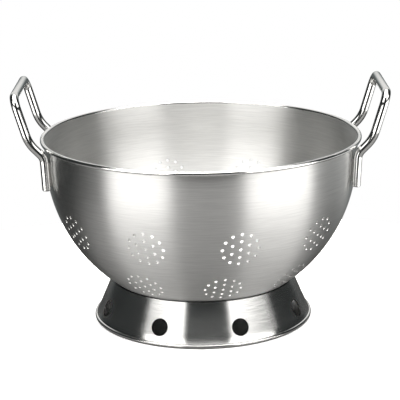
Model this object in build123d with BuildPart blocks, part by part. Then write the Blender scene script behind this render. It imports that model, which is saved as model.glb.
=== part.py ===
from build123d import *
from math import acos, asin, cos, degrees, radians, sin, sqrt, tan
import os

# A footed kitchen colander in stainless steel, with two rod handles. Millimetres, Z up, origin on
# the floor under the middle of the bowl. The handles are at -X and +X, and the front is -Y.
# Turns are in degrees from upright, and azimuths in degrees from the front towards +X.

# Bowl
mouth_diameter = 360.0
bowl_sheet = 1.0
wall_height = 20.5
wall_draft = 2.6
base_lift = 19.6
bead_diameter = 5.0
bead_sides = 8
base_flat_diameter = 80.0

# Rosettes of holes: one hole, with an inner and an outer ring of holes round it
hole_diameter = 4.0
hole_sides = 6
inner_ring_radius = 11.0
inner_ring_count = 6
outer_ring_radius = 20.2
outer_ring_count = 12
upper_row_turn = 22.7
upper_row_count = 10
upper_row_azimuth = 14.4
lower_row_turn = 44.2
lower_row_count = 9
lower_row_azimuth = 10.0

# Foot ring
foot_diameter = 256.0
foot_sheet = 1.2
foot_draft = 23.0
flare_radius = 25.0
flare_turn = 45.0
lip_diameter = 5.0
lip_sides = 8
flange_width = 14.0
vent_diameter = 20.0
vent_height = 20.0
vent_count = 8
vent_azimuth = 20.5

# Handles
rod_diameter = 10.0
leg_spacing = 120.0
leg_end_drop = 50.5
lower_bend_drop = 12.5
upper_bend_rise = 4.5
upper_bend_overhang = 16.6
grip_rise = 55.5
grip_overhang = 15.0
lower_bend_radius = 14.0
upper_bend_radius = 38.0
grip_bend_radius = 14.0
rod_end_chamfer = 1.0

# Welds
weld_gap = 0.3
leg_weld_width = 5.0
leg_weld_length = 26.0
spot_diameter = 6.0
spot_count = 8

# How far a cut runs past the metal that it goes through
overrun = 10.0


def outward(turn, length):
    """A length along the outside normal of a wall that leans in by a turn, in the section plane."""
    return Vector(length * cos(radians(turn)), -length * sin(radians(turn)))


def around(radius, height, azimuth):
    """The point at a radius, a height and an azimuth."""
    angle = radians(azimuth)
    return Vector(radius * sin(angle), -radius * cos(angle), height)


def facing_plane(radius, height, turn, azimuth):
    """A plane on a round wall that faces out along the wall's normal, with its own Y up the wall."""
    along = around(1, 0, azimuth + 90)
    normal = around(cos(radians(turn)), -sin(radians(turn)), azimuth)
    return Plane(origin=around(radius, height, azimuth), x_dir=along, z_dir=normal)


# The outside of the bowl in section: a straight wall that runs tangent into a round centred on the
# axis, down to a flat base
bead_radius = bead_diameter / 2
mouth_radius = mouth_diameter / 2
wall_radius = mouth_radius + bowl_sheet
round_radius = (wall_radius - wall_height * tan(radians(wall_draft))) * cos(radians(wall_draft))
base_flat_radius = base_flat_diameter / 2
base_turn = degrees(acos(base_flat_radius / round_radius))
round_height = base_lift + round_radius * sin(radians(base_turn))
round_centre = Vector(0, round_height)
bead_height = round_height + wall_height
rim_height = bead_height + bead_radius


def wall_line_radius(height):
    """The radius at a height of the straight wall's outside, or of its line carried on down."""
    return wall_radius - (bead_height - height) * tan(radians(wall_draft))


def bowl_outline(depth):
    """Draws the section of the bowl at a depth under its outside, from the bead to the axis."""
    wall_top = Vector(wall_radius - depth, bead_height)
    round_top = round_centre + outward(wall_draft, round_radius - depth)
    round_end = round_centre + outward(base_turn, round_radius - depth)
    Line(wall_top, round_top)
    CenterArc(round_centre, round_radius - depth, -wall_draft, wall_draft - base_turn)
    Line(round_end, (0, round_end.Y))


def rosette():
    """Draws the holes of one rosette, a hole of its inner ring straight above its middle hole."""
    hole_radius = hole_diameter / 2
    RegularPolygon(hole_radius, hole_sides)
    with PolarLocations(inner_ring_radius, inner_ring_count, start_angle=90):
        RegularPolygon(hole_radius, hole_sides)
    with PolarLocations(outer_ring_radius, outer_ring_count, start_angle=90):
        RegularPolygon(hole_radius, hole_sides)


rosette_rows = (
    (upper_row_turn, upper_row_count, upper_row_azimuth),
    (lower_row_turn, lower_row_count, lower_row_azimuth),
)

# The bowl is spun from one sheet, and its edge is curled outward into a bead. The rosettes are
# punched square to the sheet, in two rows and one in the base.
with BuildPart() as bowl:
    with BuildSketch(Plane.XZ):
        with BuildLine():
            bowl_outline(0)
            bowl_outline(bowl_sheet)
            Line((mouth_radius, bead_height), (wall_radius, bead_height))
            inside_base = (round_centre + outward(base_turn, round_radius - bowl_sheet)).Y
            Line((0, base_lift), (0, inside_base))
        make_face()
        with Locations((mouth_radius + bead_radius, bead_height)):
            RegularPolygon(bead_radius, bead_sides, major_radius=False, rotation=180 / bead_sides)
    revolve(axis=Axis.Z)
    for row_turn, row_count, row_azimuth in rosette_rows:
        middle = round_centre + outward(row_turn, round_radius)
        for index in range(row_count):
            azimuth = row_azimuth + index * 360 / row_count
            with BuildSketch(facing_plane(middle.X, middle.Y, row_turn, azimuth)):
                rosette()
    with BuildSketch(Plane.XY.offset(base_lift)):
        rosette()
    extrude(amount=overrun, both=True, mode=Mode.SUBTRACT)

bowl.part.label = "bowl"

# The bowl as if it were full of metal, for cutting what lies against its outside
with BuildPart() as bowl_core:
    with BuildSketch(Plane.XZ):
        with BuildLine():
            bowl_outline(0)
            Line((wall_radius, bead_height), (0, bead_height))
            Line((0, bead_height), (0, base_lift))
        make_face()
    revolve(axis=Axis.Z)

# The outside of the foot in section, upward: a lip that is rolled under, a flare, a straight skirt,
# and a flange that lies under the round of the bowl
lip_radius = lip_diameter / 2
lip_centre = Vector(foot_diameter / 2 - lip_radius, lip_radius)
flare_centre = lip_centre + outward(-flare_turn, lip_radius + flare_radius)
seat_radius = round_radius + weld_gap


def skirt_foot(depth):
    """The point where the skirt runs into the flare, at a depth inside the outside of the foot."""
    return flare_centre - outward(-foot_draft, flare_radius + depth)


def skirt_head(depth):
    """The point where the skirt's line meets the flange's surface at the same depth."""
    start = skirt_foot(depth) - round_centre
    upward = Vector(-sin(radians(foot_draft)), cos(radians(foot_draft)))
    along = start.dot(upward)
    run = -along - sqrt(along**2 - start.length**2 + (seat_radius + depth) ** 2)
    return skirt_foot(depth) + upward * run


def flange_turn(point):
    """The turn of the bowl's round at a point of the section."""
    return degrees(asin((round_centre - point).Y / (point - round_centre).length))


flange_end_turn = flange_turn(skirt_head(0)) + degrees(flange_width / seat_radius)
vent_radius = skirt_foot(0).X + (skirt_foot(0).Y - vent_height) * tan(radians(foot_draft))

# The foot is spun from one sheet and stands on its lip. Its vents are punched square to the skirt.
with BuildPart() as foot_ring:
    with BuildSketch(Plane.XZ):
        with BuildLine():
            for depth in (0, foot_sheet):
                flange_start_turn = flange_turn(skirt_head(depth))
                flare_start = 180 + foot_draft
                CenterArc(flare_centre, flare_radius + depth, flare_start, flare_turn - foot_draft)
                Line(skirt_foot(depth), skirt_head(depth))
                flange_arc = flange_start_turn - flange_end_turn
                CenterArc(round_centre, seat_radius + depth, -flange_start_turn, flange_arc)
            flange_edge = [
                round_centre + outward(flange_end_turn, seat_radius + depth) for depth in (0, foot_sheet)
            ]
            Line(*flange_edge)
            flare_edge = [
                flare_centre - outward(-flare_turn, flare_radius + depth) for depth in (0, foot_sheet)
            ]
            Line(*flare_edge)
        make_face()
        with Locations(lip_centre):
            RegularPolygon(lip_radius, lip_sides, major_radius=False, rotation=180 / lip_sides)
    revolve(axis=Axis.Z)
    for index in range(vent_count):
        azimuth = vent_azimuth + index * 360 / vent_count
        with BuildSketch(facing_plane(vent_radius, vent_height, -foot_draft, azimuth)):
            Circle(vent_diameter / 2)
    extrude(amount=overrun, both=True, mode=Mode.SUBTRACT)

foot_ring.part.label = "foot_ring"

# The foot hangs from a ring of spot welds between its flange and the bowl
spot_turn = (flange_turn(skirt_head(0)) + flange_end_turn) / 2
spot_place = round_centre + outward(spot_turn, round_radius - bowl_sheet / 2)
with BuildPart() as foot_welds:
    for index in range(spot_count):
        azimuth = vent_azimuth + (index + 1 / 2) * 360 / spot_count
        with BuildSketch(facing_plane(spot_place.X, spot_place.Y, spot_turn, azimuth)):
            Circle(spot_diameter / 2)
    extrude(amount=bowl_sheet / 2 + weld_gap + foot_sheet / 2)
    add(bowl_core.part, mode=Mode.SUBTRACT)
    add(foot_ring.part, mode=Mode.SUBTRACT)

foot_welds.part.label = "foot_welds"

os.makedirs("parts", exist_ok=True)
for piece in (bowl, foot_ring, foot_welds):
    export_step(piece.part, f"parts/{piece.part.label}.step")

# A handle is one bent rod: two legs that lie on the wall, bend out over the bead and lean out to a
# straight grip. Each leg is welded to the wall along a short strip.
rod_radius = rod_diameter / 2
leg_offset = leg_spacing / 2
leg_end_height = rim_height - leg_end_drop
lower_bend_height = rim_height - lower_bend_drop
upper_bend_height = rim_height + upper_bend_rise
grip_height = rim_height + grip_rise
weld_height = (leg_end_height + lower_bend_height) / 2


def leg_reach(height):
    """How far out in X the middle of a leg is where it lies on the wall."""
    return sqrt((wall_line_radius(height) + weld_gap + rod_radius) ** 2 - leg_offset**2)


upper_bend_reach = leg_reach(lower_bend_height) + upper_bend_overhang
leg_places = (
    (leg_reach(leg_end_height), leg_end_height),
    (leg_reach(lower_bend_height), lower_bend_height),
    (upper_bend_reach, upper_bend_height),
    (upper_bend_reach + grip_overhang, grip_height),
)
bend_radii = [lower_bend_radius, upper_bend_radius, grip_bend_radius]
leg_azimuth = degrees(acos(leg_offset / (wall_line_radius(weld_height) + weld_gap + rod_radius)))

for side, name in ((-1, "left"), (1, "right")):
    front_leg = [(side * reach, -leg_offset, height) for reach, height in leg_places]
    back_leg = [(side * reach, leg_offset, height) for reach, height in reversed(leg_places)]
    with BuildPart() as handle:
        with BuildLine() as rod_line:
            FilletPolyline(front_leg + back_leg, radius=bend_radii + bend_radii[::-1])
        with BuildSketch(Plane(origin=rod_line.line @ 0, z_dir=rod_line.line % 0)):
            Circle(rod_radius)
        sweep()
        chamfer(handle.faces().filter_by(GeomType.PLANE).edges(), rod_end_chamfer)
    handle.part.label = f"handle_{name}"
    export_step(handle.part, f"parts/{handle.part.label}.step")

    with BuildPart() as handle_welds:
        for azimuth in (side * leg_azimuth, side * (180 - leg_azimuth)):
            inside_wall = wall_line_radius(weld_height) - bowl_sheet / 2
            with BuildSketch(facing_plane(inside_wall, weld_height, wall_draft, azimuth)):
                Rectangle(leg_weld_width, leg_weld_length)
        extrude(amount=bowl_sheet / 2 + weld_gap + rod_radius)
        add(bowl_core.part, mode=Mode.SUBTRACT)
        add(handle.part, mode=Mode.SUBTRACT)
    handle_welds.part.label = f"handle_{name}_welds"
    export_step(handle_welds.part, f"parts/{handle_welds.part.label}.step")
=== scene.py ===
from math import acos, atan2, cos, hypot, pi, radians, sin, sqrt, tan

import bpy
import numpy as np
from mathutils import Matrix, Vector


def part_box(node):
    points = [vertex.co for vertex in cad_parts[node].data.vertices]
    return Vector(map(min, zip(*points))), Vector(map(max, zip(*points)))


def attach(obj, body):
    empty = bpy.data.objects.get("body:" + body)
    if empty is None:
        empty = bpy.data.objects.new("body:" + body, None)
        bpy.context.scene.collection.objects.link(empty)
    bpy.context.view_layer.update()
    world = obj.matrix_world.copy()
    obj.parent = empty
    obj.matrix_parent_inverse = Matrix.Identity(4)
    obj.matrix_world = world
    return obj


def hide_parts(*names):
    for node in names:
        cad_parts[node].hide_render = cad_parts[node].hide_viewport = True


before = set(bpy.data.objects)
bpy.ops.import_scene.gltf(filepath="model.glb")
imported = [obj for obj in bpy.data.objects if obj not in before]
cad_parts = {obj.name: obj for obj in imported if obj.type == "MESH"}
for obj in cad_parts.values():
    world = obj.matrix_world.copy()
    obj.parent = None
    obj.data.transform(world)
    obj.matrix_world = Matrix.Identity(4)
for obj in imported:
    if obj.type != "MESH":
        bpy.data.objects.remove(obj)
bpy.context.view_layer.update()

# Camera. It looks a little down at the colander's front, from the photograph's distance and with
# its framing. Lengths are in metres and angles in radians.
camera_distance = 1.7416
camera_height = 0.6144
camera_tilt = 0.2672
camera_turn = 0.0011
camera_roll = -0.0141
camera_lens = 139.1
camera_sensor = 36

camera = bpy.data.objects.new("camera", bpy.data.cameras.new("camera"))
bpy.context.scene.collection.objects.link(camera)
camera.data.lens = camera_lens
camera.data.sensor_width = camera_sensor
camera.matrix_world = (
    Matrix.Translation((0, -camera_distance, camera_height))
    @ Matrix.Rotation(camera_turn, 4, "Z")
    @ Matrix.Rotation(pi / 2 - camera_tilt, 4, "X")
    @ Matrix.Rotation(camera_roll, 4, "Z")
)
bpy.context.scene.camera = camera
bpy.context.scene.view_settings.view_transform = "Standard"

# Room. A white room to the camera. What the steel mirrors is a dim one with soft lamps: low ones
# at the left and right of the camera, a wing over each, a large one overhead in front, a faint
# fill at the far right and a pale backdrop behind. Bands are shares of a turn, the front at a half.
low_light = 4.1
wing_light = 2.8
overhead_light = 4.35
fill_light = 0.8
backdrop_light = 0.9
backdrop_share = 0.12
room_light = 0.03
shade_tint = (0.90, 1.0, 1.0, 1)
lamp_tint = (1.0, 0.985, 0.965, 1)
left_band = (0.300, 0.308, 0.434, 0.442)
right_band = (0.584, 0.592, 0.734, 0.744)
front_band = (0.242, 0.258, 0.742, 0.758)
open_band = (0.06, 0.13, 0.87, 0.94)
fill_band = (0.730, 0.748, 0.892, 0.908)
low_rise, low_fall = (-0.49, -0.41), (0.05, 0.13)
wing_rise, wing_fall = (0.35, 0.43), (0.71, 0.79)
overhead_rise, overhead_behind_rise = (0.73, 0.88), (0.82, 0.88)
fill_rise, fill_fall = (-0.49, -0.41), (-0.14, -0.06)
backdrop_rise = (-0.05, 0.27)


class Number:
    """A number in a node tree. Sums written on it become Math nodes."""

    def __init__(self, tree, socket):
        self.tree = tree
        self.socket = socket

    def maths(self, operation, *values):
        inputs = dict(enumerate(values))
        return self.tree.node("ShaderNodeMath", {"operation": operation}, inputs)

    def __add__(self, other):
        return self.maths("ADD", self, other)

    def __radd__(self, other):
        return self.maths("ADD", other, self)

    def __sub__(self, other):
        return self.maths("SUBTRACT", self, other)

    def __rsub__(self, other):
        return self.maths("SUBTRACT", other, self)

    def __mul__(self, other):
        return self.maths("MULTIPLY", self, other)

    def __rmul__(self, other):
        return self.maths("MULTIPLY", other, self)

    def __truediv__(self, other):
        return self.maths("DIVIDE", self, other)

    def __pow__(self, other):
        return self.maths("POWER", self, other)


class Tree:
    """The nodes of a material or of the world."""

    def __init__(self, owner):
        owner.use_nodes = True
        self.nodes = owner.node_tree.nodes
        self.links = owner.node_tree.links
        self.nodes.clear()

    def node(self, kind, settings=None, inputs=None, output=0):
        """Adds a node, with its settings and the values or links of its inputs."""
        made = self.nodes.new(kind)
        for name, value in (settings or {}).items():
            if name == "stops":
                made.color_ramp.interpolation = "EASE"
                for place, _ in value[1:-1]:
                    made.color_ramp.elements.new(place)
                for element, (place, grey) in zip(made.color_ramp.elements, value):
                    element.color = (grey, grey, grey, 1)
            else:
                setattr(made, name, value)
        for name, value in (inputs or {}).items():
            if isinstance(value, Number):
                self.links.new(value.socket, made.inputs[name])
            else:
                made.inputs[name].default_value = value
        return Number(self, made.outputs[output]) if made.outputs else None

    def parts(self, vector):
        """The X, Y and Z of a vector as three numbers."""
        outputs = self.node("ShaderNodeSeparateXYZ", inputs={"Vector": vector}).socket.node.outputs
        return [Number(self, outputs[index]) for index in range(3)]


world = bpy.data.worlds.new("studio")
bpy.context.scene.world = world
room = Tree(world)
east, north, up = room.parts(room.node("ShaderNodeTexCoord", output=0))
front_turn = room.node("ShaderNodeMath", {"operation": "ARCTAN2"}, {0: east, 1: 0 - north})
band = front_turn / (2 * pi) + 0.5


def round_room(start, full, fading, end):
    """A level that comes and goes round the room, by places in the band."""
    stops = [(0.0, 0), (start, 0), (full, 1), (fading, 1), (end, 0), (1.0, 0)]
    return room.node("ShaderNodeValToRGB", {"stops": stops}, {"Fac": band})


def risen(start, end):
    """A smooth step from 0 to 1 as a direction rises, by the height of its unit vector."""
    settings = {"interpolation_type": "SMOOTHSTEP"}
    limits = {"Value": up, "From Min": start, "From Max": end}
    return room.node("ShaderNodeMapRange", settings, limits)


both_sides = round_room(*left_band) + round_room(*right_band)
low_lamps = both_sides * (risen(*low_rise) - risen(*low_fall))
wings = both_sides * (risen(*wing_rise) - risen(*wing_fall))
not_front = 1 - round_room(*front_band)
overhead = (1 - not_front * (1 - risen(*overhead_behind_rise))) * risen(*overhead_rise)
fill = round_room(*fill_band) * (risen(*fill_rise) - risen(*fill_fall))
backdrop = (1 - round_room(*open_band)) * (risen(*backdrop_rise) + backdrop_share)
studio = (
    low_lamps * low_light
    + wings * wing_light
    + overhead * overhead_light
    + fill * fill_light
    + backdrop * backdrop_light
    + room_light
)
tint = room.node(
    "ShaderNodeMix", {"data_type": "RGBA"}, {0: studio, 6: shade_tint, 7: lamp_tint}, output=2
)
lit = room.node("ShaderNodeBackground", inputs={"Color": tint, "Strength": studio})
white = room.node("ShaderNodeBackground", inputs={"Color": (1, 1, 1, 1), "Strength": 1.0})
to_camera = room.node("ShaderNodeLightPath", output=0)
shown = room.node("ShaderNodeMixShader", inputs={0: to_camera, 1: lit, 2: white})
room.node("ShaderNodeOutputWorld", inputs={"Surface": shown})

# Floor. A round, matt board that the foot stands on. It is white to the camera but for the shadow,
# and the steel mirrors it dimmer, with painted shade that makes it darkest behind the foot.
floor_radius = 0.62
floor_forward = 0.20
floor_sides = 128
floor_shown = (1.7, 1.7, 1.7, 1)
floor_near = (0.26, 0.26, 0.26, 1)
# Painted shade: the board's colour behind the foot, as the steel mirrors it.
floor_painted_shade = (0.05, 0.05, 0.05, 1)
dim_from, dim_to = -0.15, 0.10


def mesh_object(name, points, faces):
    """A new object with a mesh of points and faces."""
    mesh = bpy.data.meshes.new(name)
    mesh.from_pydata(points, [], faces)
    made = bpy.data.objects.new(name, mesh)
    bpy.context.scene.collection.objects.link(made)
    return made


floor_rim = [
    (floor_radius * cos(turn), floor_radius * sin(turn) - floor_forward, 0)
    for turn in np.linspace(0, 2 * pi, floor_sides, endpoint=False)
]
floor = mesh_object("floor", floor_rim, [tuple(range(floor_sides))])
floor_paint = bpy.data.materials.new("floor_paint")
paint = Tree(floor_paint)
floor_y = paint.parts(paint.node("ShaderNodeTexCoord", output=3))[1]
# How much of the painted shade the board gets, rising towards the back, behind the foot.
painted_shade_share = paint.node(
    "ShaderNodeMapRange",
    {"interpolation_type": "SMOOTHSTEP"},
    {"Value": floor_y, "From Min": dim_from, "From Max": dim_to},
)
near = paint.node("ShaderNodeBsdfDiffuse", inputs={"Color": floor_near})
far = paint.node("ShaderNodeBsdfDiffuse", inputs={"Color": floor_painted_shade})
matt = paint.node("ShaderNodeMixShader", inputs={0: painted_shade_share, 1: near, 2: far})
bright = paint.node("ShaderNodeBsdfDiffuse", inputs={"Color": floor_shown})
paint_seen = paint.node("ShaderNodeLightPath", output=0)
painted = paint.node("ShaderNodeMixShader", inputs={0: paint_seen, 1: matt, 2: bright})
paint.node("ShaderNodeOutputMaterial", inputs={"Surface": painted})
floor.data.materials.append(floor_paint)

# Bowl. One sheet of stainless steel, spun to a round with a straight wall, its edge curled outward
# into a bead, and punched with rosettes of drain holes. It is brushed round its axis on both sides.
bowl_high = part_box("bowl")[1]
spin_segments = 384
bead_radius = 0.0025
bowl_sheet = 0.001
wall_draft = radians(2.6)
wall_height = 0.0205
base_flat_radius = 0.040
mouth_radius = bowl_high[0] - 2 * bead_radius
wall_radius = mouth_radius + bowl_sheet
round_radius = (wall_radius - wall_height * tan(wall_draft)) * cos(wall_draft)
bead_height = bowl_high[2] - bead_radius
round_height = bead_height - wall_height
base_turn = acos(base_flat_radius / round_radius)


def round_point(turn, depth=0):
    """Radius and height on the bowl's round, at a turn from level and a depth under the outside."""
    reach = round_radius - depth
    return reach * cos(turn), round_height - reach * sin(turn)


def arc_points(middle, radius, start, end, count):
    """Radii and heights along an arc, by its angles from level."""
    return [
        (middle[0] + radius * cos(angle), middle[1] + radius * sin(angle))
        for angle in np.linspace(start, end, count)
    ]


def spun(name, outline, segments):
    """A closed mesh spun round Z from a closed outline, wound so that the outside goes upward."""
    points, rings = [], []
    for radius, height in outline:
        if radius == 0:
            rings.append([len(points)] * segments)
            points.append((0, 0, height))
            continue
        rings.append(range(len(points), len(points) + segments))
        for angle in np.linspace(0, 2 * pi, segments, endpoint=False):
            points.append((radius * cos(angle), radius * sin(angle), height))
    faces = []
    for lower, upper in zip(rings, rings[1:] + rings[:1]):
        for index in range(segments):
            after = (index + 1) % segments
            face = (lower[index], lower[after], upper[after], upper[index])
            face = tuple(dict.fromkeys(face))
            if len(face) > 2:
                faces.append(face)
    return mesh_object(name, points, faces)


def punched(piece, punches, sides):
    """Cuts round holes, given by middle, direction, radius and length, through a piece."""
    points, faces = [], []
    for middle, along, radius, length in punches:
        across = along.orthogonal().normalized()
        beside = along.cross(across)
        first = len(points)
        for end in (-length / 2, length / 2):
            for angle in np.linspace(0, 2 * pi, sides, endpoint=False):
                rim = across * (radius * cos(angle)) + beside * (radius * sin(angle))
                points.append(middle + along * end + rim)
        for side in range(sides):
            after = (side + 1) % sides
            above = first + sides
            faces.append((first + side, first + after, above + after, above + side))
        faces.append(tuple(first + side for side in reversed(range(sides))))
        faces.append(tuple(first + sides + side for side in range(sides)))
    punch = mesh_object("punch", points, faces)
    cut = piece.modifiers.new("punched", "BOOLEAN")
    cut.operation = "DIFFERENCE"
    cut.solver = "MANIFOLD"
    cut.object = punch
    bpy.context.view_layer.update()
    cut_piece = piece.evaluated_get(bpy.context.evaluated_depsgraph_get())
    piece.data = bpy.data.meshes.new_from_object(cut_piece)
    piece.modifiers.clear()
    bpy.data.objects.remove(punch)


crease = radians(35)
facing_out = 0.97


def smoothed(piece, on_sheet, sheet_normal):
    """Shades a piece smooth, with the true normals of its punched sheet where a face lies on it."""
    mesh = piece.data
    mesh.shade_smooth()
    mesh.set_sharp_from_angle(angle=crease)
    normals = [(0, 0, 0)] * len(mesh.loops)
    for face in mesh.polygons:
        facing = sheet_normal(face.center).dot(face.normal)
        if on_sheet(face.center) and abs(facing) > facing_out:
            for loop in face.loop_indices:
                corner = mesh.vertices[mesh.loops[loop].vertex_index].co
                normals[loop] = sheet_normal(corner) * (1 if facing > 0 else -1)
    mesh.normals_split_custom_set(normals)


def on_round(place):
    """Whether a place lies on the bowl's round, between its wall and its flat base."""
    turn = atan2(round_height - place.z, hypot(place.x, place.y))
    return wall_draft < turn < base_turn


def round_normal(place):
    """The outward normal of the bowl's round at a place."""
    return (place - Vector((0, 0, round_height))).normalized()


crevice_turn = radians(230.5)
bead_middle = (mouth_radius + bead_radius, bead_height)
round_steps, bead_steps = 64, 32
round_turns = np.linspace(base_turn, wall_draft, round_steps)
bowl_outline = [(0, round_point(base_turn)[1])]
bowl_outline += [round_point(turn) for turn in round_turns]
bowl_outline += arc_points(bead_middle, bead_radius, crevice_turn - 2 * pi, pi, bead_steps)
bowl_outline += [round_point(turn, bowl_sheet) for turn in round_turns[::-1]]
bowl_outline += [(0, round_point(base_turn, bowl_sheet)[1])]
bowl = spun("bowl_sheet", bowl_outline, spin_segments)

hole_radius = 0.002
hole_sides = 28
hole_punch_length = 0.012
hole_rings = ((0, 1), (0.011, 6), (0.0202, 12))
rosette_rows = (
    (radians(22.7), 10, radians(14.4)),
    (radians(44.2), 9, radians(10.0)),
    (radians(90.0), 1, 0),
)
holes = []
for row_turn, row_count, row_azimuth in rosette_rows:
    for index in range(row_count):
        azimuth = row_azimuth + index * 2 * pi / row_count
        level = Vector((sin(azimuth), -cos(azimuth), 0))
        out = level * cos(row_turn) - Vector((0, 0, sin(row_turn)))
        along = Vector((cos(azimuth), sin(azimuth), 0))
        upward = out.cross(along)
        middle = Vector((0, 0, round_height)) + out * (round_radius - bowl_sheet / 2)
        if row_turn > base_turn:
            middle = Vector((0, 0, round_point(base_turn, bowl_sheet / 2)[1]))
        for ring_radius, ring_count in hole_rings:
            for place in range(ring_count):
                turn = pi / 2 + place * 2 * pi / ring_count
                offset = along * (ring_radius * cos(turn)) + upward * (ring_radius * sin(turn))
                holes.append((middle + offset, out, hole_radius, hole_punch_length))
punched(bowl, holes, hole_sides)
smoothed(bowl, on_round, round_normal)


fine_lines, fine_breaks = 1100.0, 6.0
broad_lines, broad_breaks = 420.0, 3.0
fine_rough, broad_rough, cloud_rough = 0.08, 0.02, 0.05
fine_tone, broad_tone, cloud_tone = 0.84, 0.168, 0.1
rough_clouds, tone_clouds = 14.0, 4.0
dark_share, light_share = 0.75, 1.25
brush_depth, brush_strength = 0.0002, 0.04


def brushed_steel(name, roughness, anisotropy, colour):
    """Stainless steel with fine brush lines that run round the piece's own Z axis."""
    made = bpy.data.materials.new(name)
    steel = Tree(made)
    place = steel.node("ShaderNodeTexCoord", output=3)
    x, y, z = steel.parts(place)
    reach = (x * x + y * y) ** 0.5

    def lines(across, along):
        """Noise drawn out round the axis, with so many lines and so many breaks for each metre."""
        spot = steel.node(
            "ShaderNodeCombineXYZ",
            inputs={"X": x / reach * along, "Y": y / reach * along, "Z": z * across},
        )
        return steel.node(
            "ShaderNodeTexNoise",
            {"noise_dimensions": "4D"},
            {"Vector": spot, "W": reach * across, "Scale": 1.0, "Detail": 3.0, "Roughness": 0.6},
        )

    def clouds(scale):
        """Soft, even noise for wear and handling."""
        noise = {"Vector": place, "Scale": scale, "Detail": 3.0, "Roughness": 0.5}
        return steel.node("ShaderNodeTexNoise", inputs=noise)

    fine = lines(fine_lines, fine_breaks) - 0.5
    broad = lines(broad_lines, broad_breaks) - 0.5
    rough = fine * fine_rough + broad * broad_rough
    rough = rough + (clouds(rough_clouds) - 0.5) * cloud_rough + roughness
    tone = fine * fine_tone + broad * broad_tone + (clouds(tone_clouds) - 0.5) * cloud_tone + 0.5
    dark = tuple(channel * dark_share for channel in colour) + (1,)
    light = tuple(channel * light_share for channel in colour) + (1,)
    shades = {0: tone, 6: dark, 7: light}
    tint = steel.node("ShaderNodeMix", {"data_type": "RGBA"}, shades, output=2)
    bump = steel.node(
        "ShaderNodeBump",
        inputs={"Strength": brush_strength, "Distance": brush_depth, "Height": fine},
    )
    shader = steel.node(
        "ShaderNodeBsdfPrincipled",
        inputs={
            "Base Color": tint,
            "Metallic": 1.0,
            "Roughness": rough,
            "Anisotropic": anisotropy,
            "Anisotropic Rotation": 0.25,
            "Normal": bump,
        },
    )
    steel.node("ShaderNodeOutputMaterial", inputs={"Surface": shader})
    return made


sheet_part, edge_part, hole_part, seam_shade_part = range(4)
edge_margin = 1.01
across_sheet = 0.5


def finished(piece, steels, edge_middle, edge_radius, on_sheet, sheet_normal):
    """Gives a piece its sheet's steel, its rolled edge a smoother one, its holes a duller one."""
    piece.data.materials.clear()
    for steel in steels:
        piece.data.materials.append(steel)
    for face in piece.data.polygons:
        place = face.center
        reach = hypot(hypot(place.x, place.y) - edge_middle[0], place.z - edge_middle[1])
        if reach < edge_radius * edge_margin:
            face.material_index = edge_part
        elif on_sheet(place) and abs(sheet_normal(place).dot(face.normal)) < across_sheet:
            face.material_index = hole_part
        else:
            face.material_index = sheet_part


stainless = (0.74, 0.74, 0.73)
cut_edge = (0.55, 0.55, 0.54)
bowl_steel = brushed_steel("bowl_steel", roughness=0.42, anisotropy=0.94, colour=stainless)
rolled_steel = brushed_steel("rolled_steel", roughness=0.16, anisotropy=0.4, colour=stainless)
cut_steel = brushed_steel("cut_steel", roughness=0.35, anisotropy=0.0, colour=cut_edge)
bowl_steels = (bowl_steel, rolled_steel, cut_steel)
finished(bowl, bowl_steels, bead_middle, bead_radius, on_round, round_normal)
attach(bowl, "root")
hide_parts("bowl")

# Foot ring. One sheet of stainless steel, spun to a cone with a flared foot, a lip rolled under
# and a flange that follows the bowl. Its round vents are punched square to the cone. The crease
# under the bowl gets painted shade: a near black seam for the shadow between foot and bowl.
foot_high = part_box("foot_ring")[1]
foot_sheet = 0.0012
foot_draft = radians(23)
flare_radius = 0.025
flare_turn = radians(45)
lip_radius = 0.0025
flange_width = 0.014
shoulder_share = 0.965
lip_step = 0.0008
lip_start = -pi - radians(20)
lip_end = flare_turn + radians(50)
shoulder_turn = radians(0.8)
flare_steps, flange_steps, lip_steps = 12, 10, 44
seam_width = 0.0003
weld_gap = 0.0003
seat_radius = round_radius + weld_gap
lip_middle = Vector((foot_high[0] - lip_radius, lip_radius))
flare_out = Vector((cos(flare_turn), sin(flare_turn)))
flare_middle = lip_middle + flare_out * (lip_radius + flare_radius)


def skirt_line(depth):
    """The skirt's two ends in section, at a depth inside the outside of the foot."""
    low = flare_middle - Vector((cos(foot_draft), sin(foot_draft))) * (flare_radius + depth)
    start = low - Vector((0, round_height))
    upward = Vector((-sin(foot_draft), cos(foot_draft)))
    along = start.dot(upward)
    reach = seat_radius + depth
    run = -along - sqrt(along**2 - start.length_squared + reach**2)
    return low, low + upward * run


def seat_turn(point):
    """The turn of the bowl's round at a point of the section."""
    return atan2(round_height - point[1], point[0])


flange_end = seat_turn(skirt_line(0)[1]) + flange_width / seat_radius


def foot_side(depth):
    """One side of the foot's sheet, from the lip up to the end of the flange."""
    low, high = skirt_line(depth)
    flare = []
    for share in np.linspace(0, 1, flare_steps):
        angle = pi + flare_turn + (foot_draft - flare_turn) * share
        reach = flare_radius + depth + lip_step * (1 - share) ** 2
        flare.append((flare_middle.x + reach * cos(angle), flare_middle.y + reach * sin(angle)))
    flange_start = -seat_turn(high) - shoulder_turn
    seat = seat_radius + depth
    flange = arc_points((0, round_height), seat, flange_start, -flange_end, flange_steps)
    shoulder = low + (high - low) * shoulder_share
    return flare + [tuple(shoulder)] + flange


lip_outline = arc_points(lip_middle, lip_radius, lip_start, lip_end, lip_steps)
foot_outline = lip_outline + foot_side(0) + foot_side(foot_sheet)[::-1]
foot_ring = spun("foot_sheet", foot_outline, spin_segments)

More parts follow.
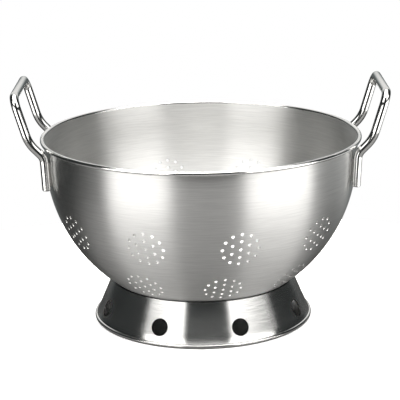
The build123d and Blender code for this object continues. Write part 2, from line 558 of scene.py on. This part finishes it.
vent_radius = 0.010
vent_sides = 64
vent_punch_length = 0.02
vent_height = 0.020
vent_count = 8
vent_azimuth = radians(20.5)
skirt_low = skirt_line(0)[0]
vent_reach = skirt_low.x + (skirt_low.y - vent_height) * tan(foot_draft)
vents = []
for index in range(vent_count):
    azimuth = vent_azimuth + index * 2 * pi / vent_count
    level = Vector((sin(azimuth), -cos(azimuth), 0))
    out = level * cos(foot_draft) + Vector((0, 0, sin(foot_draft)))
    middle = level * vent_reach + Vector((0, 0, vent_height))
    vents.append((middle, out, vent_radius, vent_punch_length))
punched(foot_ring, vents, vent_sides)


def on_skirt(place):
    """Whether a place lies on the foot's straight skirt."""
    low, high = skirt_line(0)
    return low.y < place.z < low.y + (high.y - low.y) * shoulder_share


def skirt_normal(place):
    """The outward normal of the foot's straight skirt at a place."""
    level = Vector((place.x, place.y, 0)).normalized()
    return level * cos(foot_draft) + Vector((0, 0, sin(foot_draft)))


smoothed(foot_ring, on_skirt, skirt_normal)
# Painted shade: a near black colour for the shadow in the crease between the foot and the bowl.
seam_painted_shade = (0.05, 0.05, 0.05)
foot_steel = brushed_steel("foot_steel", roughness=0.20, anisotropy=0.90, colour=stainless)
seam_shade_steel = brushed_steel("seam_shade_steel", roughness=0.6, anisotropy=0.0, colour=seam_painted_shade)
foot_steels = (foot_steel, rolled_steel, cut_steel, seam_shade_steel)
finished(foot_ring, foot_steels, lip_middle, lip_radius, on_skirt, skirt_normal)
shoulder_low, shoulder_high = foot_side(0)[flare_steps : flare_steps + 2]
seam_reach = (shoulder_low[0] + shoulder_high[0]) / 2
seam_height = (shoulder_low[1] + shoulder_high[1]) / 2
# The faces along the crease under the bowl get the painted shade.
for face in foot_ring.data.polygons:
    reach = hypot(face.center.x, face.center.y)
    if hypot(reach - seam_reach, face.center.z - seam_height) < seam_width:
        face.material_index = seam_shade_part
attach(foot_ring, "root")
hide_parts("foot_ring")

# Handles. Each is one stainless rod, polished and bent cold to a frame: two legs on the bowl's
# wall that bend out over the bead and lean out to a straight grip. Its ends are cut and chamfered.
rod_radius = 0.005
leg_offset = 0.060
leg_end_drop = 0.0505
lower_bend_drop = 0.0125
upper_bend_rise = 0.0045
upper_bend_overhang = 0.0166
grip_rise = 0.0555
grip_overhang = 0.015
lower_bend_radius = 0.014
upper_bend_radius = 0.038
grip_bend_radius = 0.014
rod_chamfer = 0.001
rod_sides = 48
rod_crease = radians(30)
bend_steps = 16
rim_height = bowl_high[2]


def leg_reach(height):
    """How far out in X the middle of a leg is where it lies on the wall."""
    wall = wall_radius - (bead_height - height) * tan(wall_draft)
    return sqrt((wall + weld_gap + rod_radius) ** 2 - leg_offset**2)


def rounded(corners, radii):
    """The points of a path through corners, with a true arc at each inner corner."""
    path = [corners[0]]
    for index, radius in enumerate(radii):
        before, corner, after = corners[index : index + 3]
        back = (before - corner).normalized()
        ahead = (after - corner).normalized()
        half = back.angle(ahead) / 2
        middle = corner + (back + ahead).normalized() * (radius / sin(half))
        start = corner + back * (radius / tan(half)) - middle
        end = corner + ahead * (radius / tan(half)) - middle
        sweep = start.angle(end)
        for step in range(bend_steps + 1):
            share = step / bend_steps
            turned = start * sin((1 - share) * sweep) + end * sin(share * sweep)
            path.append(middle + turned / sin(sweep))
    path.append(corners[-1])
    return path


def rod(name, path, radius, chamfer, sides):
    """A round rod along a path, with chamfered ends."""
    path = [Vector(point) for point in path]
    first_cut = path[0] + (path[1] - path[0]).normalized() * chamfer
    last_cut = path[-1] + (path[-2] - path[-1]).normalized() * chamfer
    path = [path[0], first_cut] + path[1:-1] + [last_cut, path[-1]]
    radii = [radius - chamfer] + [radius] * (len(path) - 2) + [radius - chamfer]
    points = []
    beside = Vector((0, 1, 0))
    for index, place in enumerate(path):
        ahead = path[min(index + 1, len(path) - 1)] - place
        behind = place - path[max(index - 1, 0)]
        along = (ahead.normalized() + behind.normalized()).normalized()
        beside = (beside - along * beside.dot(along)).normalized()
        across = along.cross(beside)
        for angle in np.linspace(0, 2 * pi, sides, endpoint=False):
            rim = beside * (radii[index] * cos(angle)) + across * (radii[index] * sin(angle))
            points.append(place + rim)
    faces = [tuple(reversed(range(sides)))]
    faces.append(tuple(range(len(points) - sides, len(points))))
    for ring in range(len(path) - 1):
        for side in range(sides):
            after = (side + 1) % sides
            low, high = ring * sides, (ring + 1) * sides
            faces.append((low + side, low + after, high + after, high + side))
    made = mesh_object(name, points, faces)
    made.data.shade_smooth()
    made.data.set_sharp_from_angle(angle=rod_crease)
    return made


def rod_noise(scale, detail):
    """Fine or soft noise on the rod, about a middle of 0."""
    noise = {"Vector": rod_place, "Scale": scale, "Detail": detail, "Roughness": 0.6}
    return polish.node("ShaderNodeTexNoise", inputs=noise) - 0.5


rod_dark = (0.56, 0.56, 0.55, 1)
rod_light = (0.72, 0.72, 0.71, 1)
rod_roughness = 0.12
grain_rough, wear_rough, wear_tone = 0.03, 0.05, 0.2
grain_scale, grain_detail = 300.0, 2.0
wear_scale, wear_detail = 60.0, 3.0
grain_depth, grain_strength = 0.0001, 0.01
rod_steel = bpy.data.materials.new("rod_steel")
polish = Tree(rod_steel)
rod_place = polish.node("ShaderNodeTexCoord", output=3)
grain = rod_noise(grain_scale, grain_detail)
wear = rod_noise(wear_scale, wear_detail)
rough = grain * grain_rough + wear * wear_rough + rod_roughness
rod_tint = polish.node(
    "ShaderNodeMix",
    {"data_type": "RGBA"},
    {0: wear * wear_tone + 0.5, 6: rod_dark, 7: rod_light},
    output=2,
)
bump = polish.node(
    "ShaderNodeBump",
    inputs={"Strength": grain_strength, "Distance": grain_depth, "Height": grain},
)
shader = polish.node(
    "ShaderNodeBsdfPrincipled",
    inputs={"Base Color": rod_tint, "Metallic": 1.0, "Roughness": rough, "Normal": bump},
)
polish.node("ShaderNodeOutputMaterial", inputs={"Surface": shader})

upper_bend_reach = leg_reach(rim_height - lower_bend_drop) + upper_bend_overhang
leg_places = [
    (leg_reach(rim_height - leg_end_drop), rim_height - leg_end_drop),
    (leg_reach(rim_height - lower_bend_drop), rim_height - lower_bend_drop),
    (upper_bend_reach, rim_height + upper_bend_rise),
    (upper_bend_reach + grip_overhang, rim_height + grip_rise),
]
bend_radii = [lower_bend_radius, upper_bend_radius, grip_bend_radius]
for side, name in ((-1, "left"), (1, "right")):
    front_leg = [Vector((side * reach, -leg_offset, height)) for reach, height in leg_places]
    back_leg = [Vector((side * reach, leg_offset, height)) for reach, height in leg_places]
    path = rounded(front_leg + back_leg[::-1], bend_radii + bend_radii[::-1])
    handle = rod(f"rod_{name}", path, rod_radius, rod_chamfer, rod_sides)
    handle.data.materials.append(rod_steel)
    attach(handle, "root")
    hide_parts(f"handle_{name}")

# Welds. Fused metal that holds the pieces together: a ring of spots between the foot's flange and
# the bowl, and a strip behind each leg of the handles. Dull, as the welder leaves it.
weld_grey = (0.55, 0.54, 0.52)
weld_steel = brushed_steel("weld_steel", roughness=0.42, anisotropy=0.0, colour=weld_grey)
for name in ("foot_welds", "handle_left_welds", "handle_right_welds"):
    for slot in bpy.data.objects[name].material_slots:
        slot.material = weld_steel
